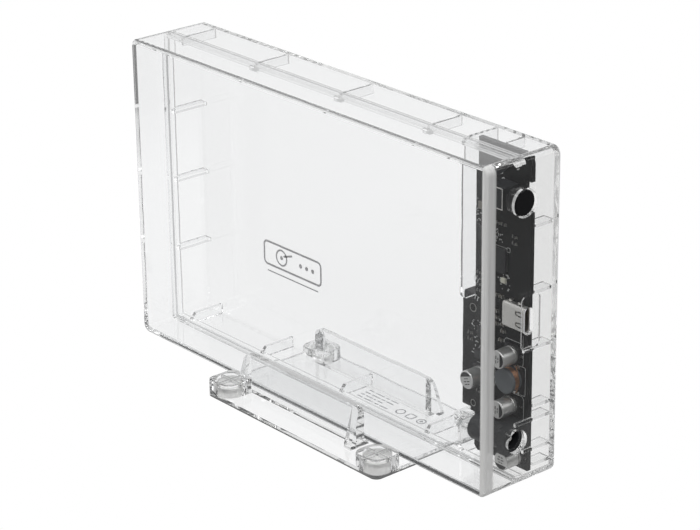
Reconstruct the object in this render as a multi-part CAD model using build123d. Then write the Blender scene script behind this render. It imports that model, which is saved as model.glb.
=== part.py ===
from build123d import *
import os

# A clear enclosure for a 3.5 inch hard disk drive, standing on its long edge in a clear stand.
# Millimetres. It is drawn in the case's own frame: X from the case's left end, Y from its
# front face, Z from its underside. TO_ROW then puts the origin under the middle of the stand.

# ---------------------------------------------------------------- driving dimensions
CASE_LENGTH = 185.0
CASE_DEPTH = 32.0
CASE_HEIGHT = 114.0
CASE_CORNER = 3.0
EDGE_ROUND = 1.0
INNER_CORNER = 1.0
WALL = 2.0
END_WALL = 2.3
SEAM_Y = 15.5
SEAM_GAP = 0.1

STAND_X = (54.7, 146.0)
STAND_OVERHANG = 12.7
STAND_DROP = 4.0
FOOT_PROUD = 0.5
PLATE = 1.8

BOARD_FACE_Y = 21.2
BOARD_THICK = 1.6
BOARD_X = (158.6, 181.6)
BOARD_Z = (2.5, 111.5)
CONNECTOR_Z = (15.9, 57.5)

USB_Z = 57.1
JACK_Y = 14.4
JACK_Z = 16.1
BUTTON_Y = 16.4
BUTTON_Z = 98.6

INNER_X = CASE_LENGTH - END_WALL
INNER_TOP = CASE_HEIGHT - WALL
INNER_BACK = CASE_DEPTH - WALL
BOARD_BACK_Y = BOARD_FACE_Y + BOARD_THICK
TO_ROW = Pos(-CASE_LENGTH / 2, -CASE_DEPTH / 2, STAND_DROP)


# ---------------------------------------------------------------- helpers
def block(x, y, z):
    """Box between the (low, high) pairs given for X, Y and Z."""
    size = [pair[1] - pair[0] for pair in (x, y, z)]
    return Pos(x[0], y[0], z[0]) * Box(*size, align=(Align.MIN, Align.MIN, Align.MIN))


def rounded(x, y, z, axis, radius):
    """Block whose four edges along one axis are rounded."""
    body = block(x, y, z)
    return fillet(body.edges().filter_by(axis), radius)


def around(middle, size):
    """The (low, high) pair of a span given by its middle and its size."""
    return (middle - size / 2, middle + size / 2)


def rod_x(x, y, z, radius):
    """Round bar along X between the pair x, centred on y and z."""
    place = Pos(x[0], y, z) * Rot(0, 90, 0)
    return place * Cylinder(radius, x[1] - x[0], align=(Align.CENTER, Align.CENTER, Align.MIN))


def rod_y(x, y, z, radius):
    """Round bar along Y between the pair y, centred on x and z."""
    place = Pos(x, y[0], z) * Rot(-90, 0, 0)
    return place * Cylinder(radius, y[1] - y[0], align=(Align.CENTER, Align.CENTER, Align.MIN))


def rod_z(x, y, z, radius):
    """Round bar along Z between the pair z, centred on x and y."""
    place = Pos(x, y, z[0])
    return place * Cylinder(radius, z[1] - z[0], align=(Align.CENTER, Align.CENTER, Align.MIN))


def slab_x(points, x):
    """Outline of (y, z) points, extruded along X between the pair x."""
    outline = Plane.YZ.offset(x[0]) * Polygon(*points, align=None)
    return extrude(outline, x[1] - x[0])


def slab_y(points, y):
    """Outline of (x, z) points, extruded along Y between the pair y."""
    outline = Plane.XZ.offset(-y[1]) * Polygon(*points, align=None)
    return extrude(outline, y[1] - y[0])


def joined(pieces):
    """One solid made of pieces that touch."""
    pieces = list(pieces)
    return pieces[0].fuse(*pieces[1:]).clean() if len(pieces) > 1 else pieces[0]


def save(name, shape):
    """Write one node's STEP file, moved into the row's frame."""
    placed = TO_ROW * shape
    placed.label = name
    export_step(placed, f"parts/{name}.step")


def save_group(name, shapes):
    """Write one node that is a group of separate solids."""
    placed = Compound(label=name, children=[TO_ROW * shape for shape in shapes])
    export_step(placed, f"parts/{name}.step")


# ---------------------------------------------------------------- the clear case
LIP_THICK = 1.2
LIP_REACH = 2.3
LIP_CLEAR = 0.15
RAIL_HEIGHT = 0.3
RIB = 1.4
SHORT_RIB = 1.2
BOTTOM_RIB_X = (10.7, 52.5, 96.5, 140.8)
BOTTOM_RIB_TOP = 5.8
TOP_RIB_X = (10.5, 52.0, 97.0, 141.0, 170.0)
TOP_RIB_DEEP = 3.3
LEFT_RIB_Z = (30.4, 57.5, 84.0)
LEFT_RIB_DEEP = 3.5
PARTITION_X = (157.0, 158.4)
PARTITION_GAP_Z = (15.4, 58.0)
PARTITION_ROUND = 2.4
SUPPORT_Z = (4.9, 10.7, 21.4, 25.9, 46.8, 66.2, 89.0)
SUPPORT_WIDE = 4.2
GUIDE_FRONT_Y = {10.7: 18.3, 21.4: 14.6, 46.8: 17.9}
GUIDE_WIDE = 1.0
LEDGE_DEEP = 0.6
LEDGE_BACK_Y = 3.4


def case_hull():
    """Outer form of the closed case, with soft edges round both large faces."""
    hull = rounded((0, CASE_LENGTH), (0, CASE_DEPTH), (0, CASE_HEIGHT), Axis.Y, CASE_CORNER)
    rims = hull.faces().filter_by(Axis.Y).edges()
    return fillet(rims, EDGE_ROUND)


def case_walls(cavity_end=INNER_X):
    """The closed case as a hollow of even wall; the hollow runs on to cavity_end."""
    cavity = rounded((WALL, cavity_end), (WALL, INNER_BACK), (WALL, INNER_TOP), Axis.Y, INNER_CORNER)
    return case_hull() - cavity


def ring(y, gap):
    """Strip of even thickness just inside the top, left and bottom walls."""
    low = WALL + gap
    outer = block((low, INNER_X + 0.5), y, (low, CASE_HEIGHT - low))
    outer = fillet(outer.edges().filter_by(Axis.Y).sort_by(Axis.X)[:2], INNER_CORNER + 0.1)
    low += LIP_THICK
    inner = block((low, INNER_X + 0.6), y, (low, CASE_HEIGHT - low))
    return outer - inner


def lip():
    """Inner lip that the cover slides over, with a rail along its top and bottom runs."""
    front = SEAM_Y - LIP_REACH
    pieces = [ring((front, SEAM_Y + 0.01), LIP_CLEAR), ring((SEAM_Y, SEAM_Y + 2), 0.0)]
    rail_y = (front + 0.3, front + 1.1)
    rail_x = (WALL + 4, INNER_X + 0.5)
    low = WALL - RAIL_HEIGHT
    for z in ((low, WALL + 0.5), (CASE_HEIGHT - WALL - 0.5, CASE_HEIGHT - low)):
        pieces.append(block(rail_x, rail_y, z))
    return pieces


def shell_ribs():
    """Ribs that hold the drive and the circuit board clear of the walls."""
    back = INNER_BACK + 0.5
    ribs = []
    for x in BOTTOM_RIB_X:
        side = ((SEAM_Y, WALL - 0.5), (back, WALL - 0.5), (back, BOTTOM_RIB_TOP),
                (SEAM_Y + 2, BOTTOM_RIB_TOP), (SEAM_Y, WALL + 1.6))
        ribs.append(slab_x(side, around(x, RIB)))
    for x in TOP_RIB_X:
        front = BOARD_BACK_Y if x > BOARD_X[0] else SEAM_Y
        z = (INNER_TOP - TOP_RIB_DEEP, INNER_TOP + 0.5)
        ribs.append(block(around(x, RIB), (front, back), z))
    for z in LEFT_RIB_Z:
        ribs.append(block((WALL - 0.5, WALL + LEFT_RIB_DEEP), (SEAM_Y, back), around(z, RIB)))
    return ribs


def partition():
    """Wall between the drive bay and the board, open where the drive's connector comes through."""
    y = (SEAM_Y, INNER_BACK + 0.5)
    low, high = PARTITION_GAP_Z
    lower = block(PARTITION_X, y, (WALL - 0.5, low))
    upper = block(PARTITION_X, y, (high, INNER_TOP + 0.5))
    lower_corner = lower.edges().filter_by(Axis.X).group_by(Axis.Z)[-1].sort_by(Axis.Y)[0]
    upper_corner = upper.edges().filter_by(Axis.X).group_by(Axis.Z)[0].sort_by(Axis.Y)[0]
    return [fillet(lower_corner, PARTITION_ROUND), fillet(upper_corner, PARTITION_ROUND)]


def board_supports():
    """Ribs behind the board, and thin guides that reach past its edge beside the sockets."""
    pieces = []
    for z in SUPPORT_Z:
        x = (INNER_X - SUPPORT_WIDE, INNER_X + 0.5)
        pieces.append(block(x, (BOARD_BACK_Y, INNER_BACK + 0.5), around(z, SHORT_RIB)))
    for z, front in GUIDE_FRONT_Y.items():
        x = (INNER_X - GUIDE_WIDE, INNER_X + 0.5)
        pieces.append(block(x, (front, INNER_BACK), around(z, SHORT_RIB)))
    return pieces


def cover_ledge():
    """Step on the end wall that backs the cover's right-hand edge."""
    z = (WALL + 0.2, INNER_TOP - 0.2)
    return block((INNER_X - LEDGE_DEEP, INNER_X + 0.5), (WALL + LIP_CLEAR, LEDGE_BACK_Y), z)


USB_HIGH = 8.94
USB_DEEP = 3.26
USB_Y = BOARD_FACE_Y - USB_DEEP / 2
USB_RECESS = (8.2, 19.0, 0.8)
JACK_HOLE_R = 4.25
BUTTON_HOLE_R = 4.95


def end_wall_cuts():
    """Holes for the button, the USB socket with its plug's recess, and the power plug."""
    through = (INNER_X - 0.5, CASE_LENGTH + 1)
    wide, high, deep = USB_RECESS
    slot_y = around(USB_Y, USB_DEEP + 0.5)
    slot_z = around(USB_Z, USB_HIGH + 0.5)
    recess_x = (CASE_LENGTH - deep, CASE_LENGTH + 1)
    return [
        rod_x(through, BUTTON_Y, BUTTON_Z, BUTTON_HOLE_R),
        rod_x(through, JACK_Y, JACK_Z, JACK_HOLE_R),
        rounded(through, slot_y, slot_z, Axis.X, USB_DEEP / 2),
        rounded(recess_x, around(USB_Y, wide), around(USB_Z, high), Axis.X, 2.0),
    ]


def base_shell():
    """Back half of the case with the whole right-hand end wall."""
    cover_zone = block((-1, INNER_X), (-1, SEAM_Y), (-1, CASE_HEIGHT + 1))
    half = case_walls() - cover_zone
    pieces = [half, *lip(), *shell_ribs(), *partition(), *board_supports(), cover_ledge()]
    shell = joined(pieces)
    for cut in end_wall_cuts():
        shell = shell - cut
    return shell


TAB_X = (55.0, 100.0, 144.0)
TAB_R = 2.1
TAB_DEEP = 1.0


def front_cover():
    """Front half of the case, which slides off to the left along the base's two rails."""
    zone = block((-1, INNER_X - SEAM_GAP), (-1, SEAM_Y - SEAM_GAP), (-1, CASE_HEIGHT + 1))
    cover = case_walls(CASE_LENGTH + 1) & zone
    front = SEAM_Y - LIP_REACH
    groove_y = (front + 0.1, front + 1.3)
    groove_x = (WALL + 3, INNER_X + 1)
    depth = RAIL_HEIGHT + 0.12
    for z in ((WALL - depth, WALL + 1), (INNER_TOP - 1, INNER_TOP + depth)):
        cover = cover - block(groove_x, groove_y, z)
    tab_y = front - 0.3
    for x in TAB_X:
        tab = rod_z(x, tab_y, (INNER_TOP - TAB_DEEP, INNER_TOP + 0.5), TAB_R)
        cover = cover + (tab & block((x - 5, x + 5), (0, tab_y), (0, CASE_HEIGHT)))
    return cover


# ---------------------------------------------------------------- the clear stand
BOSS = 12.4
BOSS_TOP = 3.0
BOSS_RIM = 0.6
PLATE_CORNER = 2.6
BOSS_CORNERS = (6.0, 3.6, PLATE_CORNER)
CUP_R = 5.0
CUP_TOP = 2.0
FOOT_TOP = 1.2
UPRIGHT_X = (64.0, 126.0)
UPRIGHT_TOP = 13.0
UPRIGHT = 2.0
SIDE_CLEAR = 0.3
UPRIGHT_CORNER = 3.0
FIN_REACH = 4.2
FIN_WIDE = 3.6
FIN_DROP = 0.4
SHELF_REACH = 1.6
SHELF_GAP = 0.02
PLATE_LOW = FOOT_PROUD - STAND_DROP
STAND_Y = (-STAND_OVERHANG, CASE_DEPTH + STAND_OVERHANG)


def foot_centres():
    """Name and centre of each of the four feet."""
    centres = {}
    for side, y in (("front", STAND_Y[0] + BOSS / 2), ("rear", STAND_Y[1] - BOSS / 2)):
        for end, x in (("left", STAND_X[0] + BOSS / 2), ("right", STAND_X[1] - BOSS / 2)):
            centres[f"foot_{side}_{end}"] = (x, y)
    return centres


def front_upright():
    """Wall that stops the case from tipping forward, with a fin at each end and a low shelf inside."""
    outer = -SIDE_CLEAR - UPRIGHT
    toe = outer - FIN_REACH
    low, high = UPRIGHT_X
    reach = rounded(UPRIGHT_X, (toe, -SIDE_CLEAR), (PLATE_LOW - 6, UPRIGHT_TOP), Axis.Y, UPRIGHT_CORNER)
    reach = reach & block(UPRIGHT_X, (toe, 0), (PLATE_LOW, UPRIGHT_TOP))
    wall = reach & block(UPRIGHT_X, (outer, 0), (PLATE_LOW, UPRIGHT_TOP))
    fin = ((outer + 1, PLATE_LOW), (outer + 1, UPRIGHT_TOP - FIN_DROP), (outer, UPRIGHT_TOP - FIN_DROP),
           (toe, PLATE_LOW + PLATE + 0.6), (toe, PLATE_LOW))
    fins = [slab_x(fin, x) & reach for x in ((low, low + FIN_WIDE), (high - FIN_WIDE, high))]
    shelf = block(UPRIGHT_X, (-SIDE_CLEAR - 1, SHELF_REACH), (PLATE_LOW, -SHELF_GAP))
    return [wall, *fins, shelf]


def boss(x, y):
    """Block for one foot: square to the plate's corner, and rounder towards the stand's middle."""
    z = (PLATE_LOW, BOSS_TOP)
    body = block(around(x, BOSS), around(y, BOSS), z)
    for way_x in (-1, 1):
        for way_y in (-1, 1):
            outer_sides = (way_x * (x - sum(STAND_X) / 2) > 0) + (way_y * (y - CASE_DEPTH / 2) > 0)
            edge_x = x + way_x * BOSS / 2
            edge_y = y + way_y * BOSS / 2
            span_x = sorted((edge_x, edge_x - way_x * 3 * BOSS))
            span_y = sorted((edge_y, edge_y - way_y * 3 * BOSS))
            body = body & rounded(span_x, span_y, z, Axis.Z, BOSS_CORNERS[outer_sides])
    return fillet(body.faces().sort_by(Axis.Z)[-1].edges(), BOSS_RIM)


def stand_body():
    """Flat plate with two uprights and four hollow bosses."""
    middle = CASE_DEPTH / 2
    pieces = [rounded(STAND_X, STAND_Y, (PLATE_LOW, PLATE_LOW + PLATE), Axis.Z, PLATE_CORNER)]
    pieces += front_upright()
    pieces += [mirror(piece, Plane.XZ.offset(-middle)) for piece in front_upright()]
    for x, y in foot_centres().values():
        pieces.append(boss(x, y))
    stand = joined(pieces)
    for x, y in foot_centres().values():
        cup = rod_z(x, y, (PLATE_LOW - 1, CUP_TOP), CUP_R)
        for arm in ((2 * CUP_R, 0.9), (0.9, 2 * CUP_R)):
            cup = cup - block(around(x, arm[0]), around(y, arm[1]), (FOOT_TOP, CUP_TOP))
        stand = stand - cup
    return stand


def stand_foot(x, y):
    """Soft round foot pushed up into a boss."""
    foot = rod_z(x, y, (-STAND_DROP, FOOT_TOP), CUP_R - 0.08)
    return fillet(foot.faces().sort_by(Axis.Z)[0].edges(), 0.4)


# ---------------------------------------------------------------- the circuit board
BOARD_WIDE_X = 153.0
BUTTON_NOTCH_X = 179.0
BUTTON_NOTCH_Z = (93.2, 103.6)
PEG_HOLES = ((157.6, 53.4, 1.2), (157.9, 19.0, 0.9))


def circuit_board():
    """Upright board beside the end wall, wider where it carries the drive's connector."""
    left, right = BOARD_X
    low, high = BOARD_Z
    notch_low, notch_high = BUTTON_NOTCH_Z
    outline = (
        (left, low + 1.5), (left + 1.5, low), (right, low),
        (right, notch_low), (BUTTON_NOTCH_X, notch_low),
        (BUTTON_NOTCH_X, notch_high), (right, notch_high), (right, high), (left, high),
        (left, CONNECTOR_Z[1] - 1.0), (BOARD_WIDE_X, CONNECTOR_Z[1] - 1.0),
        (BOARD_WIDE_X, 20.0), (BOARD_WIDE_X + 1.6, 18.3), (PARTITION_X[0] - 0.4, 18.3),
        (PARTITION_X[0] - 0.4, CONNECTOR_Z[0] + 0.1), (left, CONNECTOR_Z[0] + 0.1),
    )
    board = slab_y(outline, (BOARD_FACE_Y, BOARD_BACK_Y))
    for x, z, radius in PEG_HOLES:
        board = board - rod_y(x, (BOARD_FACE_Y - 1, BOARD_BACK_Y + 1), z, radius)
    return board


# ---------------------------------------------------------------- the drive's connector
PLUG_X = (151.0, 158.0)
PLUG_Y = (BOARD_BACK_Y, BOARD_BACK_Y + 6.2)
PLUG_SLOT = 1.4
PLUG_SLOT_DEEP = 5.2
CONTACT_PITCH = 1.27
SIGNAL_COUNT = 7
POWER_COUNT = 15
SIGNAL_Z = 45.4
POWER_Z = 20.0


def plug_slots():
    """The short signal slot and the long power slot of the drive's connector, as (low, high) pairs."""
    margin = 1.0
    signal = (SIGNAL_Z - margin, SIGNAL_Z + (SIGNAL_COUNT - 1) * CONTACT_PITCH + margin)
    power = (POWER_Z - margin, POWER_Z + (POWER_COUNT - 1) * CONTACT_PITCH + margin)
    return signal, power


def sata_housing():
    """Black connector body behind the board, open towards the drive bay."""
    body = rounded(PLUG_X, PLUG_Y, CONNECTOR_Z, Axis.X, 0.6)
    slot_x = (PLUG_X[0] - 1, PLUG_X[0] + PLUG_SLOT_DEEP)
    middle = sum(PLUG_Y) / 2
    for z in plug_slots():
        body = body - block(slot_x, around(middle, PLUG_SLOT), z)
        key = (z[0], z[0] + 1.3)
        body = body - block(slot_x, (middle, middle + 2.0), key)
    return body


def plug_contacts(first_z, count):
    """Row of contact strips lying on one wall of a slot."""
    wall_y = sum(PLUG_Y) / 2 - PLUG_SLOT / 2
    x = (PLUG_X[0] + 0.6, PLUG_X[0] + PLUG_SLOT_DEEP)
    y = (wall_y, wall_y + 0.25)
    return [block(x, y, around(first_z + i * CONTACT_PITCH, 0.7)) for i in range(count)]


# ---------------------------------------------------------------- the USB socket
USB_X = (172.4, 182.8)
USB_SKIN = 0.3
TONGUE_HIGH = 6.7
TONGUE_DEEP = 0.7


def usb_shell():
    """Folded steel shell with rounded ends and two spring fingers cut in its face."""
    y = around(USB_Y, USB_DEEP)
    z = around(USB_Z, USB_HIGH)
    shell = rounded(USB_X, y, z, Axis.X, 1.28)
    inner_y = around(USB_Y, USB_DEEP - 2 * USB_SKIN)
    inner_z = around(USB_Z, USB_HIGH - 2 * USB_SKIN)
    shell = shell - rounded((USB_X[0] + 1.2, USB_X[1] + 1), inner_y, inner_z, Axis.X, 0.98)
    front = (y[0] - 0.5, y[0] + 0.6)
    for middle in (USB_Z - 1.9, USB_Z + 1.9):
        finger = block((USB_X[1] - 4.4, USB_X[1] - 0.9), front, around(middle, 1.5))
        finger = finger - block((USB_X[1] - 4.1, USB_X[1] - 0.8), front, around(middle, 0.9))
        shell = shell - finger
    return shell


def usb_tongue():
    """Plastic tongue inside the shell, with the block it grows from."""
    root_y = around(USB_Y, USB_DEEP - 2 * USB_SKIN)
    root_z = around(USB_Z, USB_HIGH - 2 * USB_SKIN)
    root = rounded((USB_X[0] + 1.2, USB_X[0] + 3.4), root_y, root_z, Axis.X, 0.98)
    tongue_x = (USB_X[0] + 3.3, USB_X[1] - 1.0)
    tongue = block(tongue_x, around(USB_Y, TONGUE_DEEP), around(USB_Z, TONGUE_HIGH))
    return root + tongue


def usb_contacts():
    """Twelve gold strips on each side of the tongue."""
    x = (USB_X[0] + 3.6, USB_X[1] - 1.4)
    strips = []
    for side in (-1, 1):
        face = USB_Y + side * TONGUE_DEEP / 2
        y = (min(face, face + side * 0.08), max(face, face + side * 0.08))
        for i in range(12):
            strips.append(block(x, y, around(USB_Z + (i - 5.5) * 0.5, 0.24)))
    return strips


# ---------------------------------------------------------------- the power socket
JACK_X = (166.7, 182.4)
JACK_FLANGE_X = 178.8
JACK_BARREL_R = 4.5
JACK_BORE_R = 3.1
JACK_BORE_BACK = 172.0
JACK_PIN_R = 1.0
JACK_SPRING_Z = (-3.5, -2.6)


def jack_pin():
    """Centre pin with a rounded tip."""
    pin = rod_x((JACK_BORE_BACK - 1.5, JACK_X[1] - 0.8), JACK_Y, JACK_Z, JACK_PIN_R)
    return fillet(pin.edges().sort_by(Axis.X)[-1], 0.5)


def jack_spring():
    """Leaf that presses on the outside of the plug, let into the wall of the bore."""
    z = (JACK_Z + JACK_SPRING_Z[0], JACK_Z + JACK_SPRING_Z[0] + 0.35)
    return block((JACK_BORE_BACK, JACK_X[1] - 1.2), around(JACK_Y, 1.8), z)


def jack_housing():
    """Black body of the socket: front block, round barrel and a foot down to the board."""
    flange = block((JACK_FLANGE_X, JACK_X[1]), (JACK_Y - 4.5, BOARD_FACE_Y), around(JACK_Z, 9.0))
    flange = fillet(flange.edges().filter_by(Axis.X).sort_by(Axis.Y)[:2], 1.0)
    barrel = rod_x((JACK_X[0], JACK_FLANGE_X + 0.5), JACK_Y, JACK_Z, JACK_BARREL_R)
    barrel = fillet(barrel.edges().sort_by(Axis.X)[0], 0.6)
    foot_x = (JACK_X[0] + 2.4, JACK_FLANGE_X + 0.5)
    foot = block(foot_x, (JACK_Y + 1, BOARD_FACE_Y), around(JACK_Z, 8.2))
    body = joined([flange, barrel, foot])
    body = body - rod_x((JACK_BORE_BACK, JACK_X[1] + 1), JACK_Y, JACK_Z, JACK_BORE_R)
    groove_z = (JACK_Z + JACK_SPRING_Z[0], JACK_Z + JACK_SPRING_Z[1])
    body = body - block((JACK_BORE_BACK, JACK_X[1] - 1.2), around(JACK_Y, 1.8), groove_z)
    return body - rod_x((JACK_BORE_BACK - 1.5, JACK_BORE_BACK + 1), JACK_Y, JACK_Z, JACK_PIN_R)


# ---------------------------------------------------------------- the power button
SWITCH_X = (168.8, 176.0)
SWITCH_Y = (14.0, BOARD_FACE_Y)
SWITCH_HIGH = 7.3
SWITCH_Z = 98.1
PLUNGER = 2.4
PLUNGER_CLEAR = 0.08
STEM_IN = 3.0
STEM_GRIP = 2.4
SWITCH_EDGE = 0.35
BUTTON_TRAVEL = 1.6
BUTTON_R = 4.35
BUTTON_FACE_X = 184.8
BUTTON_BACK_X = 179.4


def button_plunger():
    """Square stem of the switch that the button cap is pushed onto."""
    x = (SWITCH_X[1] - STEM_IN, BUTTON_BACK_X + STEM_GRIP)
    return block(x, around(BUTTON_Y, PLUNGER), around(BUTTON_Z, PLUNGER))


def switch_housing():
    """Switch body on the board, with the well its stem slides in."""
    body = block(SWITCH_X, SWITCH_Y, around(SWITCH_Z, SWITCH_HIGH))
    body = fillet(body.faces().sort_by(Axis.Y)[0].edges() + body.edges().filter_by(Axis.Y), SWITCH_EDGE)
    size = PLUNGER + 2 * PLUNGER_CLEAR
    well_x = (SWITCH_X[1] - STEM_IN - BUTTON_TRAVEL - 0.2, SWITCH_X[1] + 1)
    return body - block(well_x, around(BUTTON_Y, size), around(BUTTON_Z, size))


def power_button():
    """Round black cap in the end wall's hole, pushed onto the switch's stem."""
    cap = rod_x((BUTTON_BACK_X, BUTTON_FACE_X), BUTTON_Y, BUTTON_Z, BUTTON_R)
    cap = fillet(cap.edges().sort_by(Axis.X)[-1], 0.5)
    socket_x = (BUTTON_BACK_X - 1, BUTTON_BACK_X + STEM_GRIP)
    socket = block(socket_x, around(BUTTON_Y, PLUNGER), around(BUTTON_Z, PLUNGER))
    return cap - socket


# ---------------------------------------------------------------- parts soldered to the board
CAN_R = 3.15
CAN_FRONT_Y = 13.5
CAN_BASE = 1.4
CAN_CENTRES = ((162.6, 31.3), (174.8, 42.7), (174.8, 24.8), (177.0, 6.9))


def capacitor_can(x, z):
    """Rolled aluminium can with a rounded rim and a crimp near its base."""
    back = BOARD_FACE_Y - CAN_BASE
    can = rod_y(x, (CAN_FRONT_Y, back), z, CAN_R)
    can = fillet(can.edges().sort_by(Axis.Y)[0], 0.35)
    groove_y = (back - 1.3, back - 0.7)
    groove = rod_y(x, groove_y, z, CAN_R + 1) - rod_y(x, groove_y, z, CAN_R - 0.28)
    return can - groove


def capacitor_base(x, z):
    """Square plastic base with two cut corners that mark the polarity."""
    base = block(around(x, 6.5), (BOARD_FACE_Y - CAN_BASE, BOARD_FACE_Y), around(z, 6.5))
    corners = base.edges().filter_by(Axis.Y).sort_by(Axis.X)[-2:]
    return chamfer(corners, 1.3)


COIL_CENTRE = (174.6, 34.0)
COIL_BASE = 9.8
COIL_TURNS = 5


def inductor_core():
    """Ferrite drum: two discs on one post."""
    x, z = COIL_CENTRE
    front = rod_y(x, (16.8, 18.0), z, 4.35)
    front = fillet(front.edges().sort_by(Axis.Y)[0], 0.3)
    post = rod_y(x, (17.9, 20.3), z, 2.1)
    rear = rod_y(x, (20.2, BOARD_FACE_Y - 0.4), z, 4.35)
    return joined([front, post, rear])


def inductor_winding():
    """Copper winding between the discs, its turns showing as beads."""
    x, z = COIL_CENTRE
    pitch = 2.2 / COIL_TURNS
    coil = [rod_y(x, (18.0, 20.2), z, 3.85)]
    for i in range(COIL_TURNS):
        middle = 18.0 + pitch * (i + 0.5)
        bead = Pos(x, middle, z) * Rot(90, 0, 0) * Torus(3.85, pitch / 2 - 0.01)
        coil.append(bead)
    return joined(coil) - rod_y(x, (17.5, 20.5), z, 2.1)


def inductor_base():
    """Plastic carrier under the drum, with cut corners."""
    x, z = COIL_CENTRE
    base = block(around(x, COIL_BASE), (BOARD_FACE_Y - 0.4, BOARD_FACE_Y), around(z, COIL_BASE))
    return chamfer(base.edges().filter_by(Axis.Y), 1.6)


def chip(x, z, size, height):
    """Moulded chip body on the front of the board, its rim slightly bevelled."""
    body = block(around(x, size[0]), (BOARD_FACE_Y - height, BOARD_FACE_Y), around(z, size[1]))
    return chamfer(body.faces().sort_by(Axis.Y)[0].edges(), min(0.12, height / 4))


def chip_row(places, size, height):
    """Small parts of one size on the front of the board."""
    return [chip(x, z, size, height) for x, z in places]


RESISTOR_PLACES = (
    (160.4, 60.5), (160.4, 62.6), (160.4, 64.7), (160.4, 66.8), (174.4, 81.0), (174.4, 83.2),
    (164.6, 86.0), (167.0, 86.0), (169.4, 86.0), (156.4, 42.0), (156.4, 44.2), (160.6, 24.4),
)
CHIP_CAPACITOR_PLACES = (
    (166.5, 50.8), (166.5, 53.0), (166.5, 55.2), (163.6, 61.0), (166.2, 61.0),
    (168.8, 61.0), (169.8, 49.0), (169.8, 51.4), (156.6, 26.6), (168.8, 29.2), (168.8, 45.6),
)

SINGLE_PARTS = {
    "base_shell": base_shell,
    "front_cover": front_cover,
    "stand_body": stand_body,
    "circuit_board": circuit_board,
    "sata_housing": sata_housing,
    "usb_shell": usb_shell,
    "usb_tongue": usb_tongue,
    "jack_housing": jack_housing,
    "jack_centre_pin": jack_pin,
    "jack_spring_contact": jack_spring,
    "switch_housing": switch_housing,
    "button_plunger": button_plunger,
    "power_button": power_button,
    "inductor_core": inductor_core,
    "inductor_winding": inductor_winding,
    "inductor_base": inductor_base,
}


def main():
    """Write one STEP file for each node."""
    os.makedirs("parts", exist_ok=True)
    for name, make in SINGLE_PARTS.items():
        save(name, make())
    for name, (x, y) in foot_centres().items():
        save(name, stand_foot(x, y))
    for number, (x, z) in enumerate(CAN_CENTRES, start=1):
        save(f"capacitor_can_{number}", capacitor_can(x, z))
        save(f"capacitor_base_{number}", capacitor_base(x, z))
    save("bridge_chip", chip(166.6, 73.6, (8.6, 8.6), 0.9))
    save("regulator_chip", chip(163.4, 46.5, (4.9, 3.9), 1.5))
    save("flash_chip", chip(163.2, 81.4, (3.9, 4.9), 1.5))
    save("crystal", chip(161.8, 90.4, (3.2, 2.5), 0.8))
    save("diode", chip(162.4, 38.6, (4.3, 2.6), 2.1))
    save("status_led", chip(169.9, 66.9, (2.0, 1.6), 0.9))
    save_group("sata_signal_contacts", plug_contacts(SIGNAL_Z, SIGNAL_COUNT))
    save_group("sata_power_contacts", plug_contacts(POWER_Z, POWER_COUNT))
    save_group("usb_contacts", usb_contacts())
    save_group("chip_resistors", chip_row(RESISTOR_PLACES, (1.6, 0.8), 0.5))
    save_group("chip_capacitors", chip_row(CHIP_CAPACITOR_PLACES, (1.6, 0.9), 0.85))


main()
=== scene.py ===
import math
import random

import bmesh
import bpy
from mathutils import Matrix, Vector


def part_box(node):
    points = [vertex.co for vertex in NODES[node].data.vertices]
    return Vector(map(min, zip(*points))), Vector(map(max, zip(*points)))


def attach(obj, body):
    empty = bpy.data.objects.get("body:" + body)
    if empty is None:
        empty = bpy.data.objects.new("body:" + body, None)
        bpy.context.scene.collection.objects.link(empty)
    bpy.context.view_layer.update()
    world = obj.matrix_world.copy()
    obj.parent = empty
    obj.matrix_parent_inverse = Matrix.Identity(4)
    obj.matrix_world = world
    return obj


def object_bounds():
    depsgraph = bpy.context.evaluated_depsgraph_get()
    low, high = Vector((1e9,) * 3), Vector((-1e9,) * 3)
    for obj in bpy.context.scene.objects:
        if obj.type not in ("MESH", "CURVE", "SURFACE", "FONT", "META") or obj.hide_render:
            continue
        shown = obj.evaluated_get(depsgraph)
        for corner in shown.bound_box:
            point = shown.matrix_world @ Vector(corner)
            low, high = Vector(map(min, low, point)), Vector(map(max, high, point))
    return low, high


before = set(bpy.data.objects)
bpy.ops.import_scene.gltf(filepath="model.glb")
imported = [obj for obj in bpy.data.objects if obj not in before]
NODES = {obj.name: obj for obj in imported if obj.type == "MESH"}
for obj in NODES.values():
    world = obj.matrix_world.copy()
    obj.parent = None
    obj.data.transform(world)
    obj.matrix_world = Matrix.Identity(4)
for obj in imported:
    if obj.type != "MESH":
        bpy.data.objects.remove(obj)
CAD_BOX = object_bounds()
MM = 0.001

# Lower left front corner of the closed case, and the y of the circuit board's front face.
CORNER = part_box("base_shell")[0]
BOARD_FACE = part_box("circuit_board")[0].y


# ---------------------------------------------------------------- camera, floor and light
# Angles are in degrees and distances in metres, except LENS and SENSOR, which are in millimetres.
AZIMUTH = 49.48
ELEVATION = 22.26
ROLL = -0.68
DISTANCE = 0.9544
AIM = Vector((-0.0489, 0.0487, 0.0256))
LENS = 131.1
SENSOR = 36.0

# Brightness of the studio's parts, where only reflections see them.
BACKDROP = 1.0
LEFT_SIDE = 0.52
RIGHT_SIDE = 0.2
OVERHEAD = 0.5

# Where the backdrop starts and how softly: as a direction in the world, and as a distance on the floor.
WORLD_REACH = (0.0, 0.12)
FLOOR_REACH = (0.1, 0.04)

# Half the floor's width.
FLOOR_HALF = 4.0

# Name, azimuth, elevation, distance, size and power of each lamp.
LAMPS = (
    ("key", -15, 60, 1.6, 1.0, 5.0),
    ("side", 120, 35, 1.6, 0.8, 2.5),
    ("front", 45, 50, 1.6, 0.8, 6.5),
)


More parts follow.
